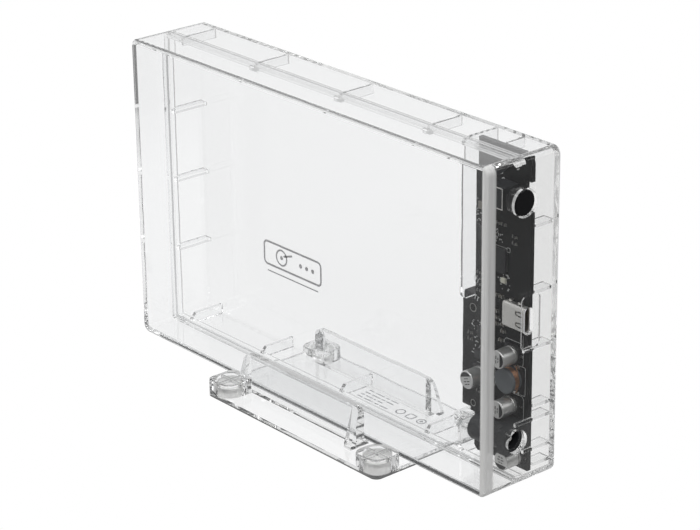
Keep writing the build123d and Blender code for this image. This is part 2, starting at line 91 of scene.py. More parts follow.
def turned(azimuth, elevation, roll=0.0):
    """Direction out to an azimuth and an elevation, and the rotation that looks back along it.

    All angles are in degrees.
    """
    a = math.radians(azimuth)
    e = math.radians(elevation)
    back = Vector((math.sin(a) * math.cos(e), -math.cos(a) * math.cos(e), math.sin(e)))
    tilt = Matrix.Rotation(math.radians(roll), 3, "Z").to_quaternion()
    return back, back.to_track_quat("Z", "Y") @ tilt


def make_camera():
    """Long lens at the object's right front, looking down on it a little."""
    data = bpy.data.cameras.new("camera")
    data.lens = LENS
    data.sensor_width = SENSOR
    data.sensor_fit = "HORIZONTAL"
    data.clip_start = 0.01
    data.clip_end = 20.0
    camera = bpy.data.objects.new("camera", data)
    bpy.context.scene.collection.objects.link(camera)
    back, turn = turned(AZIMUTH, ELEVATION, ROLL)
    camera.location = AIM + back * DISTANCE
    camera.rotation_mode = "QUATERNION"
    camera.rotation_quaternion = turn
    bpy.context.scene.camera = camera


def softbox(name, azimuth, elevation, distance, size, power):
    """Square area lamp aimed at the middle of the object."""
    data = bpy.data.lights.new(name, "AREA")
    data.shape = "SQUARE"
    data.size = size
    data.energy = power
    lamp = bpy.data.objects.new(name, data)
    bpy.context.scene.collection.objects.link(lamp)
    back, turn = turned(azimuth, elevation)
    middle = (CAD_BOX[0] + CAD_BOX[1]) / 2
    lamp.location = middle + back * distance
    lamp.rotation_mode = "QUATERNION"
    lamp.rotation_quaternion = turn


def room(tree, place, reach):
    """Brightness of the studio: white behind the object, dim at the left, darker at the right.

    Rays that come straight from the camera, or only through clear plastic, see white everywhere.
    reach is how far from the object's middle the backdrop starts and how softly.
    """
    start, soft = reach
    split = tree.add("SeparateXYZ", {0: place})
    behind = tree.spread(split.outputs["Y"], 0.0, 1.0, -soft, soft)
    left = tree.spread(split.outputs["X"], 1.0, 0.0, start - soft, start + soft)
    backdrop = tree.add("Math", {0: behind, 1: left}, operation="MULTIPLY").outputs[0]
    side = tree.spread(split.outputs["X"], LEFT_SIDE, RIGHT_SIDE, -start - soft, start + soft)
    dim = tree.add("MapRange", {"Value": backdrop, "To Min": side, "To Max": BACKDROP}).outputs["Result"]
    path = tree.add("LightPath")
    bounces = tree.add("Math", {0: path.outputs["Glossy Depth"], 1: path.outputs["Diffuse Depth"]})
    straight = tree.add("Math", {0: bounces.outputs[0], 1: 0.5}, operation="LESS_THAN").outputs[0]
    return tree.add("MapRange", {"Value": straight, "To Min": dim, "To Max": BACKDROP}).outputs["Result"]


def make_world():
    """White backdrop and a dimmer studio around it, a little brighter overhead."""
    world = bpy.data.worlds.new("studio")
    bpy.context.scene.world = world
    world.use_nodes = True
    tree = Tree(world.node_tree)
    out = tree.add("OutputWorld")
    place = tree.add("TexCoord").outputs["Generated"]
    height = tree.add("SeparateXYZ", {0: place}).outputs["Z"]
    lift = tree.spread(height, 0.0, OVERHEAD, 0.5, 1.0)
    glow = tree.add("Math", {0: room(tree, place, WORLD_REACH), 1: lift}, operation="MAXIMUM").outputs[0]
    light = tree.add("Background", {"Strength": glow}).outputs[0]
    tree.tree.links.new(light, out.inputs["Surface"])


def make_floor():
    """Plain pale floor, large enough to fill the view, lit from below like a light table."""
    mesh = bpy.data.meshes.new("floor")
    signs = ((-1, -1), (1, -1), (1, 1), (-1, 1))
    corners = [(FLOOR_HALF * a, FLOOR_HALF * b, 0) for a, b in signs]
    mesh.from_pydata(corners, [], [(0, 1, 2, 3)])
    floor = bpy.data.objects.new("floor", mesh)
    bpy.context.scene.collection.objects.link(floor)
    mat = Shader("floor_paint")
    mat.surface(mat.add("Emission", {"Strength": room(mat, mat.place(), FLOOR_REACH)}).outputs[0])
    mat.made.cycles.emission_sampling = "NONE"
    mesh.materials.append(mat.made)


def make_studio():
    """Everything that isn't the object. Light crosses many clear walls, so its paths are long."""
    scene = bpy.context.scene
    scene.view_settings.view_transform = "Standard"
    scene.cycles.max_bounces = 120
    scene.cycles.transmission_bounces = 100
    scene.cycles.transparent_max_bounces = 40
    scene.cycles.glossy_bounces = 100
    scene.cycles.diffuse_bounces = 3
    make_camera()
    make_world()
    make_floor()
    for lamp in LAMPS:
        softbox(*lamp)


# ---------------------------------------------------------------- material building blocks
class Tree:
    """A tree of shader nodes, with short names for the nodes it is built from."""

    def __init__(self, tree):
        self.tree = tree
        self.tree.nodes.clear()

    def add(self, kind, inputs=None, **settings):
        """New node with its settings, and its inputs set to plain values or joined to outputs."""
        node = self.tree.nodes.new("ShaderNode" + kind)
        for key, value in settings.items():
            setattr(node, key, value)
        for key, value in (inputs or {}).items():
            socket = node.inputs[key]
            if isinstance(value, bpy.types.NodeSocket):
                self.tree.links.new(value, socket)
            else:
                socket.default_value = value
        return node

    def place(self):
        """Position in the row's frame at rest, which stays on the piece as it moves."""
        return self.add("TexCoord").outputs["Object"]

    def noise(self, scale, detail, stretch=(1, 1, 1)):
        """Soft noise, with its scale given per metre."""
        spread = self.add("Mapping", {"Vector": self.place(), "Scale": stretch})
        made = self.add("TexNoise", {"Vector": spread.outputs[0], "Scale": scale, "Detail": detail,
                                     "Roughness": 0.5})
        return made.outputs["Fac"]

    def spread(self, value, low, high, start=0.3, end=0.7):
        """Value remapped to run from low to high."""
        made = self.add("MapRange", {"Value": value, "From Min": start, "From Max": end,
                                     "To Min": low, "To Max": high})
        return made.outputs["Result"]

    def colours(self, value, first, second):
        """Blend of two colours, each given as numbers or as an output."""
        made = self.add("Mix", data_type="RGBA")
        self.tree.links.new(value, made.inputs[0])
        for socket, colour in ((made.inputs[6], first), (made.inputs[7], second)):
            if isinstance(colour, bpy.types.NodeSocket):
                self.tree.links.new(colour, socket)
            else:
                socket.default_value = (*colour, 1)
        return made.outputs[2]

    def bump(self, height, strength, distance):
        """Surface normal from a height."""
        made = self.add("Bump", {"Height": height, "Strength": strength, "Distance": distance})
        return made.outputs[0]

    def principled(self, color, rough, metal=0.0, spec=0.5, normal=None, **more):
        """Principled shader."""
        inputs = {"Base Color": color if isinstance(color, bpy.types.NodeSocket) else (*color, 1),
                  "Roughness": rough, "Metallic": metal, "Specular IOR Level": spec}
        if normal is not None:
            inputs["Normal"] = normal
        for key, value in more.items():
            inputs[key.replace("_", " ").title().replace("Ior", "IOR")] = value
        return self.add("BsdfPrincipled", inputs).outputs[0]


class Shader(Tree):
    """A material made of nodes."""

    def __init__(self, name):
        self.made = bpy.data.materials.new(name)
        self.made.use_nodes = True
        super().__init__(self.made.node_tree)
        self.out = self.add("OutputMaterial")

    def surface(self, shader):
        """Joins a shader to the material's output."""
        self.tree.links.new(shader, self.out.inputs["Surface"])
        return self.made


# ---------------------------------------------------------------- materials
CLEAR = (0.985, 0.988, 0.99)
CLEAR_IOR = 1.5
SILICONE_IOR = 1.41

# What lamps and stray light keep of their colour when they pass through a clear wall.
PASSED = (0.97, 0.975, 0.98, 1)

# The case's right-hand end wall, which is a little smoky.
END_WALL = (0.91, 0.91, 0.905)
END_WALL_WIDE = 2.5 * MM

# Painted shade: a thin dark line painted along the lowest edges, in place of the contact shadow there.
PAINTED_SHADE = (0.08, 0.08, 0.08)
PAINTED_SHADE_HIGH = 0.8 * MM
PAINTED_SHADE_FADE = 0.4 * MM
PAINTED_SHADE_SHARE = 0.9

# The milky joint between the cover and the end wall.
BOND = (1.0, 1.0, 0.99)
BOND_WIDE = 2.5 * MM
BOND_DEEP = 3.5 * MM
BOND_FADE = 0.3 * MM


def painted_shade_line(mat, spot, bottom):
    """Share of the painted shade, a thin dark line painted along a clear part's lowest edge in place of
    a contact shadow.
    """
    facing = mat.add("SeparateXYZ", {0: mat.add("NewGeometry").outputs["Normal"]}).outputs["Z"]
    steep = mat.add("Math", {0: facing}, operation="ABSOLUTE").outputs[0]
    side = mat.spread(steep, 1.0, 0.0, 0.4, 0.6)
    top = bottom + PAINTED_SHADE_HIGH
    low = mat.spread(spot.outputs["Z"], PAINTED_SHADE_SHARE, 0.0, top - PAINTED_SHADE_FADE, top)
    return mat.add("Math", {0: side, 1: low}, operation="MULTIPLY").outputs[0]


def bond_line(mat, spot):
    """Share of the milky streaked joint where the cover meets the right-hand end wall."""
    edge = CAD_BOX[1].x - BOND_WIDE
    right = mat.spread(spot.outputs["X"], 0.0, 1.0, edge - BOND_FADE, edge + BOND_FADE)
    near = CORNER.y + BOND_DEEP
    front = mat.spread(spot.outputs["Y"], 1.0, 0.0, near - BOND_FADE, near + BOND_FADE)
    corner = mat.add("Math", {0: right, 1: front}, operation="MULTIPLY").outputs[0]
    streak = mat.spread(mat.noise(900.0, 3.0, (1, 1, 0.03)), 0.78, 1.0)
    return mat.add("Math", {0: corner, 1: streak}, operation="MULTIPLY").outputs[0]


def clear_plastic(name, ripple, bottom, has_end_wall=False):
    """Clear moulded polycarbonate: faint ripple, light handling haze, and lamps reach what is inside.

    bottom is the height of the part's lowest edge, where a thin dark line of painted shade stands in for
    a contact shadow.
    A part that has the smoky right-hand end wall also has the milky joint beside it.
    """
    mat = Shader(name)
    wave = mat.noise(55.0, 1.5)
    spot = mat.add("SeparateXYZ", {0: mat.place()})
    # Painted shade: share of the thin dark line along the lowest edge, standing in for a contact shadow.
    solid = painted_shade_line(mat, spot, bottom)
    tint = CLEAR
    if has_end_wall:
        end = CAD_BOX[1].x - END_WALL_WIDE
        wall = mat.spread(spot.outputs["X"], 0.0, 1.0, end - 0.1 * MM, end)
        tint = mat.colours(wall, tint, END_WALL)
        bond = bond_line(mat, spot)
        tint = mat.colours(bond, tint, BOND)
    # The painted shade darkens the tint along the lowest edge.
    tint = mat.colours(solid, tint, PAINTED_SHADE)
    if has_end_wall:
        solid = mat.add("Math", {0: solid, 1: bond}, operation="MAXIMUM").outputs[0]
    clear = mat.add("Math", {0: 1.0, 1: solid}, operation="SUBTRACT").outputs[0]
    rough = mat.spread(mat.noise(900.0, 3.0), 0.0, 0.025)
    body = mat.principled(color=tint, rough=rough, normal=mat.bump(wave, ripple, 0.0006),
                          transmission_weight=clear, ior=CLEAR_IOR)
    through = mat.add("BsdfTransparent", {"Color": PASSED}).outputs[0]
    path = mat.add("LightPath")
    lamps = mat.add("MixShader", {0: path.outputs["Is Shadow Ray"], 1: body, 2: through}).outputs[0]
    both = mat.add("MixShader", {0: path.outputs["Is Diffuse Ray"], 1: lamps, 2: through}).outputs[0]
    return mat.surface(both)


def silicone(name, first, second):
    """Milky clear rubber with fine upright flutes, soft at the surface."""
    mat = Shader(name)
    patch = mat.noise(420.0, 3.0)
    flutes = mat.noise(1100.0, 2.0, (1, 1, 0.05))
    return mat.surface(mat.principled(
        color=mat.colours(patch, first, second), rough=mat.spread(patch, 0.3, 0.5),
        normal=mat.bump(flutes, 0.6, 0.0002), transmission_weight=0.85, ior=SILICONE_IOR))


def moulded(name, dark, light, rough, grain=2500.0, depth=0.15, spec=0.5, glow=0.0):
    """Moulded plastic or ink with a fine grain and uneven gloss.

    glow is the share of it that lets light through.
    """
    mat = Shader(name)
    patch = mat.noise(350.0, 3.0)
    fine = mat.noise(grain, 4.0)
    return mat.surface(mat.principled(
        color=mat.colours(patch, dark, light), rough=mat.spread(patch, rough - 0.06, rough + 0.08),
        normal=mat.bump(fine, depth, 0.00005), spec=spec, transmission_weight=glow))


def ink(name, dark, light, rough, glow=0.0):
    """Printed ink, with a finer and deeper grain than moulded plastic."""
    return moulded(name, dark, light, rough, grain=5000.0, depth=0.3, glow=glow)


def metal(name, first, second, rough, stretch=(1, 1, 1)):
    """Bare metal with a fine grain, drawn out across the axes that stretch makes denser."""
    mat = Shader(name)
    streak = mat.noise(1800.0, 4.0, stretch)
    patch = mat.noise(400.0, 2.0)
    return mat.surface(mat.principled(
        color=mat.colours(patch, first, second), rough=mat.spread(streak, rough - 0.08, rough + 0.1),
        metal=1.0, normal=mat.bump(streak, 0.1, 0.00003)))


def make_materials():
    """Every material of the object, by name."""
    return {
        "clear_case": clear_plastic("clear_case", 0.14, CORNER.z, has_end_wall=True),
        "clear_stand": clear_plastic("clear_stand", 0.12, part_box("stand_body")[0].z),
        "silicone": silicone("foot_silicone", (0.90, 0.895, 0.88), (0.97, 0.965, 0.95)),
        "board": moulded("board_mask", (0.005, 0.0055, 0.006), (0.009, 0.010, 0.0115), 0.44, spec=0.18),
        "connector": moulded("connector_black", (0.013, 0.013, 0.014), (0.026, 0.026, 0.028), 0.5),
        "jack": moulded("jack_black", (0.014, 0.015, 0.017), (0.024, 0.026, 0.029), 0.45, spec=0.35),
        "button": moulded("button_black", (0.003, 0.003, 0.004), (0.006, 0.006, 0.007), 0.12, spec=0.3),
        "ferrite": moulded("ferrite", (0.115, 0.126, 0.135), (0.155, 0.168, 0.178), 0.5),
        "chip": moulded("chip_black", (0.014, 0.015, 0.016), (0.026, 0.027, 0.03), 0.55),
        "ceramic": moulded("chip_ceramic", (0.085, 0.075, 0.065), (0.14, 0.125, 0.105), 0.45),
        "led": moulded("led_lens", (0.62, 0.61, 0.50), (0.80, 0.79, 0.70), 0.35),
        "gold": metal("contact_gold", (0.83, 0.62, 0.26), (0.9, 0.7, 0.34), 0.25),
        "steel": metal("usb_steel", (0.80, 0.79, 0.76), (0.90, 0.89, 0.87), 0.34, (1, 1, 8)),
        "nickel": metal("pin_nickel", (0.62, 0.61, 0.59), (0.76, 0.75, 0.73), 0.28),
        "aluminium": metal("can_aluminium", (0.70, 0.70, 0.69), (0.82, 0.82, 0.81), 0.38),
        "copper": metal("copper_wire", (0.36, 0.19, 0.115), (0.50, 0.30, 0.20), 0.34),
        "solder": metal("solder", (0.30, 0.30, 0.29), (0.44, 0.44, 0.42), 0.4),
        # Painted shade: the crystal's steel is painted far darker than the other steel, as if it lay in
        # shade.
        "crystal": metal("crystal_steel", (0.20, 0.19, 0.17), (0.30, 0.29, 0.26), 0.4),
        "pale_ink": ink("pale_ink", (0.60, 0.61, 0.60), (0.80, 0.81, 0.80), 0.6),
        "grey_ink": ink("grey_ink", (0.58, 0.58, 0.59), (0.70, 0.70, 0.71), 0.6, glow=0.4),
        "black_ink": ink("black_ink", (0.010, 0.010, 0.011), (0.022, 0.022, 0.024), 0.5),
    }


# The CAD nodes that each material goes on.
DRESSED = {
    "clear_case": ("base_shell", "front_cover"),
    "clear_stand": ("stand_body",),
    "silicone": ("foot_front_left", "foot_front_right", "foot_rear_left", "foot_rear_right"),
    "board": ("circuit_board",),
    "connector": ("sata_housing", "usb_tongue", "inductor_base", "capacitor_base_1", "capacitor_base_2",
                  "capacitor_base_3", "capacitor_base_4"),
    "gold": ("sata_signal_contacts", "sata_power_contacts", "usb_contacts"),
    "steel": ("usb_shell",),
    "jack": ("jack_housing", "switch_housing", "button_plunger"),
    "nickel": ("jack_centre_pin", "jack_spring_contact"),
    "button": ("power_button",),
    "aluminium": ("capacitor_can_1", "capacitor_can_2", "capacitor_can_3", "capacitor_can_4"),
    "ferrite": ("inductor_core",),
    "copper": ("inductor_winding",),
    "chip": ("bridge_chip", "regulator_chip", "flash_chip", "diode", "chip_resistors"),
    "crystal": ("crystal",),
    "ceramic": ("chip_capacitors",),
    "led": ("status_led",),
}


def dress_all():
    """Gives every CAD node its material."""
    for look, names in DRESSED.items():
        for name in names:
            data = NODES[name].data
            data.materials.clear()
            data.materials.append(LOOKS[look])


# ---------------------------------------------------------------- building small pieces
ACROSS_X = Vector((1, 0, 0))
ACROSS_Y = Vector((0, 1, 0))
UP_Z = Vector((0, 0, 1))

# Thickness of printed ink, and its distance from the face that it is on, in millimetres.
INK = 0.03
LIFT = 0.006


class Relief:
    """Closed low shapes on one plane, gathered into one piece. Sizes are in millimetres."""

    def __init__(self, origin, across, up, thick=INK):
        self.origin = origin
        self.across = across
        self.up = up
        self.out = across.cross(up)
        self.low = LIFT
        self.high = LIFT + thick
        self.mesh = bmesh.new()

    def vertex(self, u, v, w):
        """New point, u across, v up and w out from the plane."""
        return self.mesh.verts.new(self.origin + (self.across * u + self.up * v + self.out * w) * MM)

    def prism(self, outline):
        """Solid of even thickness over an outline that runs anticlockwise."""
        low = [self.vertex(u, v, self.low) for u, v in outline]
        high = [self.vertex(u, v, self.high) for u, v in outline]
        self.mesh.faces.new(high)
        self.mesh.faces.new(low[::-1])
        for i in range(len(outline)):
            j = (i + 1) % len(outline)
            self.mesh.faces.new((low[i], low[j], high[j], high[i]))

    def band(self, outer, inner):
        """Solid between two outlines with the same number of points."""
        rims = ((outer, self.low), (outer, self.high), (inner, self.high), (inner, self.low))
        loops = [[self.vertex(u, v, w) for u, v in line] for line, w in rims]
        count = len(outer)
        for k in range(4):
            first, second = loops[k], loops[(k + 1) % 4]
            for i in range(count):
                j = (i + 1) % count
                self.mesh.faces.new((first[i], first[j], second[j], second[i]))

    def bar(self, u, v, wide, high, turn=0.0):
        """Rectangle about its middle, turned by an angle in degrees."""
        c = math.cos(math.radians(turn))
        s = math.sin(math.radians(turn))
        a = wide / 2
        b = high / 2
        ends = ((-a, -b), (a, -b), (a, b), (-a, b))
        self.prism([(u + x * c - y * s, v + x * s + y * c) for x, y in ends])

    def line(self, start, end, width):
        """Straight stroke between two points."""
        du = end[0] - start[0]
        dv = end[1] - start[1]
        middle = ((start[0] + end[0]) / 2, (start[1] + end[1]) / 2)
        self.bar(*middle, math.hypot(du, dv) + width, width, math.degrees(math.atan2(dv, du)))

    def disc(self, u, v, radius, sides=20):
        """Filled circle."""
        self.prism(circle(u, v, radius, sides))

    def ring(self, u, v, outer, inner, sides=28):
        """Stroke between two circles."""
        self.band(circle(u, v, outer, sides), circle(u, v, inner, sides))

    def outline(self, low, high, radius, width):
        """Stroke round a rectangle with rounded corners."""
        inner_low = (low[0] + width, low[1] + width)
        inner_high = (high[0] - width, high[1] - width)
        self.band(rounded_box(low, high, radius), rounded_box(inner_low, inner_high, radius - width))

    def done(self, name, look, slot, body="case"):
        """Finished piece, riding on a body."""
        bmesh.ops.recalc_face_normals(self.mesh, faces=self.mesh.faces)
        finished(self.mesh, name, look, body)


def circle(u, v, radius, sides):
    """Points round a circle."""
    step = 2 * math.pi / sides
    return [(u + radius * math.cos(i * step), v + radius * math.sin(i * step)) for i in range(sides)]


def rounded_box(low, high, radius, steps=5):
    """Points round a rectangle with rounded corners."""
    points = []
    corners = ((high[0] - radius, high[1] - radius, 0), (low[0] + radius, high[1] - radius, 90),
               (low[0] + radius, low[1] + radius, 180), (high[0] - radius, low[1] + radius, 270))
    for u, v, start in corners:
        for i in range(steps + 1):
            a = math.radians(start + 90 * i / steps)
            points.append((u + radius * math.cos(a), v + radius * math.sin(a)))
    return points


def finished(mesh, name, look, body):
    """Object from a bmesh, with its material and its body."""
    data = bpy.data.meshes.new(name)
    mesh.to_mesh(data)
    mesh.free()
    data.materials.append(LOOKS[look])
    piece = bpy.data.objects.new(name, data)
    bpy.context.scene.collection.objects.link(piece)
    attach(piece, body)


def add_tube(mesh, points, radius, sides=10):
    """Round wire along a line of points, closed at both ends."""
    rim = circle(0, 0, radius, sides)
    loops = []
    for i, point in enumerate(points):
        ahead = (points[min(i + 1, len(points) - 1)] - points[max(i - 1, 0)]).normalized()
        turn = ahead.to_track_quat("Z", "Y")
        loops.append([mesh.verts.new(point + turn @ Vector((u, v, 0))) for u, v in rim])
    for first, second in zip(loops, loops[1:]):
        for i in range(sides):
            j = (i + 1) % sides
            mesh.faces.new((first[i], first[j], second[j], second[i]))
    mesh.faces.new(loops[0][::-1])
    mesh.faces.new(loops[-1])


def add_bar(mesh, low, high, bevel):
    """Small block between two corners, its edges bevelled."""
    size = high - low
    middle = Matrix.Translation((low + high) / 2) @ Matrix.Diagonal((*size, 1))
    made = bmesh.ops.create_cube(mesh, size=1.0, matrix=middle)
    edges = {edge for vert in made["verts"] for edge in vert.link_edges}
    bmesh.ops.bevel(mesh, geom=list(edges), offset=bevel, segments=2, affect="EDGES", profile=0.5)


def middle_of(low, high):
    """Point halfway between two corners."""
    return (low + high) / 2


def solid_boxes(node):
    """Lowest and highest corners of each separate solid of a CAD node, in a fixed order."""
    mesh = bmesh.new()
    mesh.from_mesh(NODES[node].data)
    bmesh.ops.remove_doubles(mesh, verts=mesh.verts, dist=1e-6)
    left = set(mesh.verts)
    boxes = []
    while left:
        group = set()
        waiting = [left.pop()]
        while waiting:
            vert = waiting.pop()
            group.add(vert)
            near = {other for link in vert.link_edges for other in link.verts} & left
            left -= near
            waiting.extend(near)
        spots = [vert.co for vert in group]
        boxes.append((Vector(map(min, zip(*spots))), Vector(map(max, zip(*spots)))))
    mesh.free()
    return sorted(boxes, key=lambda corners: tuple(corners[0]))


# ---------------------------------------------------------------- details on the circuit board
# Places on the board are in millimetres from the case's corner, across and up.
# Outlines: low corner, high corner, corner radius and stroke.
BOARD_OUTLINES = (
    ((161.9, 69.0), (170.9, 78.2), 0.5, 0.14),  # round the bridge chip
    ((170.9, 77.0), (172.4, 78.6), 0.3, 0.12),  # at its corner
    ((170.2, 38.9), (179.1, 47.2), 1.4, 0.14),  # round can 2
    ((169.0, 28.9), (180.2, 39.2), 0.6, 0.14),  # round the coil
    ((170.2, 19.8), (179.6, 28.6), 1.4, 0.14),  # round can 3
    ((159.0, 27.8), (166.2, 34.8), 1.2, 0.14),  # round can 1
    ((156.3, 10.7), (158.6, 12.9), 0.4, 0.3),  # near the lower left corner
)

# Strokes: start, end and width.
BOARD_STROKES = (
    ((179.3, 46.0), (179.3, 50.2), 0.14),
    ((179.7, 19.2), (179.7, 16.2), 0.14),
    ((167.0, 99.2), (172.7, 100.6), 0.16),
)

# Patches of small marks: low corner, high corner and the number of marks.
BOARD_MARKS = (
    ((164.2, 79.0), (168.9, 84.2), 34),
    ((166.9, 63.4), (172.6, 69.6), 26),
    ((157.0, 37.0), (161.2, 49.5), 40),
    ((158.6, 84.0), (161.0, 93.0), 16),
    ((171.2, 53.6), (173.6, 58.6), 12),
    ((162.6, 50.0), (168.2, 53.0), 10),
)
MARK_TURNS = (0, 0, 90, 8)

# Size, spacing and distance from the chip of the bridge chip's pads.
PAD_SIZE = (0.3, 0.42)
PAD_COUNT = 11
PAD_PITCH = 0.65
PAD_START = 1.05
PAD_GAP = 0.18

# Rings round the holes for the drive connector's pegs: x, z and inner radius.
PEG_RINGS = ((157.6, 53.4, 1.25), (157.9, 19.0, 0.95))
PEG_RING_WIDE = 0.3

# Small chip parts, which have tinned ends.
CHIP_PARTS = ("chip_resistors", "chip_capacitors")

# Bent leads of the moulded chips, and the wire of the coil.
LEAD_PITCH = 1.27 * MM
LEAD_WIDE = 0.4 * MM
LEAD_THICK = 0.16 * MM
WIRE_RADIUS = 0.26 * MM

# Each can: direction of the black segment on its end, in degrees, and the rim outside the segment, in
# millimetres. The segment starts at a share of its radius.
CAN_STRIPES = (110.0, 0.0, 0.0, -90.0)
CAN_RIM = 0.42
SEGMENT_FROM = 0.42


def board_plane(thick=INK):
    """Relief on the front face of the board, measured from the case's corner."""
    return Relief(Vector((CORNER.x, BOARD_FACE, CORNER.z)), ACROSS_X, UP_Z, thick)


def board_print():
    """Pale component outlines, pad marks and rows of plain dashes on the board."""
    print_ink = board_plane()
    for low, high, radius, stroke in BOARD_OUTLINES:
        print_ink.outline(low, high, radius, stroke)
    for start, end, width in BOARD_STROKES:
        print_ink.line(start, end, width)
    print_ink.disc(162.6, 79.4, 0.3)
    scatter = random.Random(7)
    for low, high, count in BOARD_MARKS:
        for _ in range(count):
            u = scatter.uniform(low[0], high[0])
            v = scatter.uniform(low[1], high[1])
            wide = scatter.uniform(0.25, 0.75)
            tall = scatter.uniform(0.2, 0.32)
            print_ink.bar(u, v, wide, tall, scatter.choice(MARK_TURNS))
    # Slanted strokes near the board's left edge.
    for i in range(3):
        print_ink.bar(157.9 + 0.95 * i, 64.5 - 0.4 * i, 0.32, 2.3, -22)
    for i in range(2):
        print_ink.bar(158.6 + 1.1 * i, 57.6 - 0.5 * i, 0.34, 1.7, -16)
        print_ink.bar(158.9 + 1.1 * i, 58.3 - 0.5 * i, 0.8, 0.3, -16)
    print_ink.done("board_print", "pale_ink", "print_ink")


def pads():
    """Tinned pads and rings on the board, and two pale discs of painted light where light shows through
    two peg holes.
    """
    tin = board_plane(0.04)
    low, high = [(corner - CORNER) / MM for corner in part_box("bridge_chip")]
    narrow, long = PAD_SIZE
    for i in range(PAD_COUNT):
        x = low.x + PAD_START + PAD_PITCH * i
        z = low.z + PAD_START + PAD_PITCH * i
        for edge in (low.z - PAD_GAP, high.z + PAD_GAP):
            tin.bar(x, edge, narrow, long)
        for edge in (low.x - PAD_GAP, high.x + PAD_GAP):
            tin.bar(edge, z, long, narrow)
    for x, z, inner in PEG_RINGS:
        tin.ring(x, z, inner + PEG_RING_WIDE, inner)
    for node in CHIP_PARTS:
        for box_low, box_high in solid_boxes(node):
            middle = (middle_of(box_low, box_high) - CORNER) / MM
            size = (box_high - box_low) / MM
            for side in (-1, 1):
                tin.bar(middle.x + side * (size.x / 2 + 0.15), middle.z, 0.5, size.z + 0.2)
    tin.done("board_pads", "solder", "pin_nickel")
    # Painted light: pale discs standing in for the light seen through two peg holes in the board.
    hole_light = board_plane(0.25)
    hole_light.disc(169.1, 101.3, 0.75)
    hole_light.disc(175.5, 106.8, 0.6)
    hole_light.done("board_hole_light", "pale_ink", "print_ink")


def end_caps():
    """Tinned ends of the small chip parts, a little larger than the parts."""
    mesh = bmesh.new()
    wide = 0.28 * MM
    over = 0.03 * MM
    for node in CHIP_PARTS:
        for low, high in solid_boxes(node):
            for x in (low.x, high.x - wide):
                first = Vector((x - over, low.y - over, low.z - over))
                second = Vector((x + wide + over, high.y - 0.01 * MM, high.z + over))
                add_bar(mesh, first, second, 0.06 * MM)
    finished(mesh, "chip_end_caps", "solder", "case")


def gull_leads(mesh, node, along):
    """Four bent leads on each of two sides of a moulded chip, in rows along the axis named by along."""
    low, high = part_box(node)
    middle = middle_of(low, high)
    other = "x" if along == "z" else "z"
    waist = (low.y + BOARD_FACE) / 2
    foot = BOARD_FACE - 0.1 * MM
    # How far out from the chip's side, in millimetres, and the lead's y there.
    profile = ((-0.1, waist), (0.25, waist), (0.5, foot), (1.0, foot))
    for side in (-1, 1):
        edge = getattr(high if side > 0 else low, other)
        for place in (-1.5, -0.5, 0.5, 1.5):
            spot = getattr(middle, along) + place * LEAD_PITCH
            for (a, first_y), (b, second_y) in zip(profile, profile[1:]):
                ends = [Vector((0, first_y, 0)), Vector((0, second_y, 0))]
                for end, reach in zip(ends, (a, b)):
                    setattr(end, other, edge + side * reach * MM)
                    setattr(end, along, spot)
                add_strip(mesh, *ends, along, LEAD_WIDE, LEAD_THICK)


def add_strip(mesh, start, end, along, wide, thick):
    """Flat strip between two points, its width along a given axis."""
    ahead = (end - start).normalized()
    width = Vector((wide / 2 if along == "x" else 0, 0, wide / 2 if along == "z" else 0))
    rise = ahead.cross(width).normalized() * thick / 2
    reach = ahead * thick / 2
    signs = ((-1, -1), (1, -1), (1, 1), (-1, 1))
    loops = [[mesh.verts.new(point + a * width + b * rise) for a, b in signs]
             for point in (start - reach, end + reach)]
    for i in range(4):
        j = (i + 1) % 4
        mesh.faces.new((loops[0][i], loops[0][j], loops[1][j], loops[1][i]))
    mesh.faces.new(loops[0][::-1])
    mesh.faces.new(loops[1])


def add_tab(mesh, x, z, wide, tall, high=0.25, bevel=0.05):
    """Soldering tab on the board from x and z on, in metres. Its sizes are in millimetres."""
    low = Vector((x, BOARD_FACE - high * MM, z))
    far = Vector((x + wide * MM, BOARD_FACE - 0.01 * MM, z + tall * MM))
    add_bar(mesh, low, far, bevel * MM)


def leads():
    """Leads and soldering tabs of the larger board parts."""
    mesh = bmesh.new()
    gull_leads(mesh, "regulator_chip", "x")
    gull_leads(mesh, "flash_chip", "z")
    for number in range(1, 5):
        low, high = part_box(f"capacitor_base_{number}")
        middle = middle_of(low, high)
        for x in (low.x - 0.9 * MM, high.x - 0.2 * MM):
            add_tab(mesh, x, middle.z - 0.45 * MM, 1.1, 0.9)
    low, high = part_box("inductor_base")
    middle = middle_of(low, high)
    for z in (low.z - 0.5 * MM, high.z - 0.9 * MM):
        add_tab(mesh, middle.x + 0.6 * MM, z, 2.6, 1.4, high=0.55, bevel=0.08)
    low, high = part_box("diode")
    middle = middle_of(low, high)
    for x in (low.x - 0.5 * MM, high.x - 0.3 * MM):
        add_tab(mesh, x, middle.z - 0.7 * MM, 0.8, 1.4)
    low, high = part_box("switch_housing")
    for x in (low.x + 1.0 * MM, high.x - 2.0 * MM):
        add_tab(mesh, x, low.z - 0.9 * MM, 1.0, 1.0)
    low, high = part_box("jack_housing")
    for z in (low.z - 1.0 * MM, high.z - 0.1 * MM):
        add_tab(mesh, low.x + 4 * MM, z, 2.4, 1.1)
    bmesh.ops.recalc_face_normals(mesh, faces=mesh.faces)
    finished(mesh, "board_leads", "nickel", "case")


def switch_frame():
    """Folded steel edge round the right-hand side of the power switch."""
    mesh = bmesh.new()
    low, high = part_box("switch_housing")
    wide = 0.3 * MM
    thick = 0.1 * MM
    left = low.x + 1.2 * MM
    right = high.x - wide
    for x, z, x_end, z_end in ((left, high.z - wide, right, high.z),
                               (left, low.z, right, low.z + wide),
                               (right, low.z, high.x, high.z)):
        add_bar(mesh, Vector((x, low.y - thick, z)), Vector((x_end, low.y + thick, z_end)), 0.03 * MM)
    finished(mesh, "switch_frame", "steel", "case")


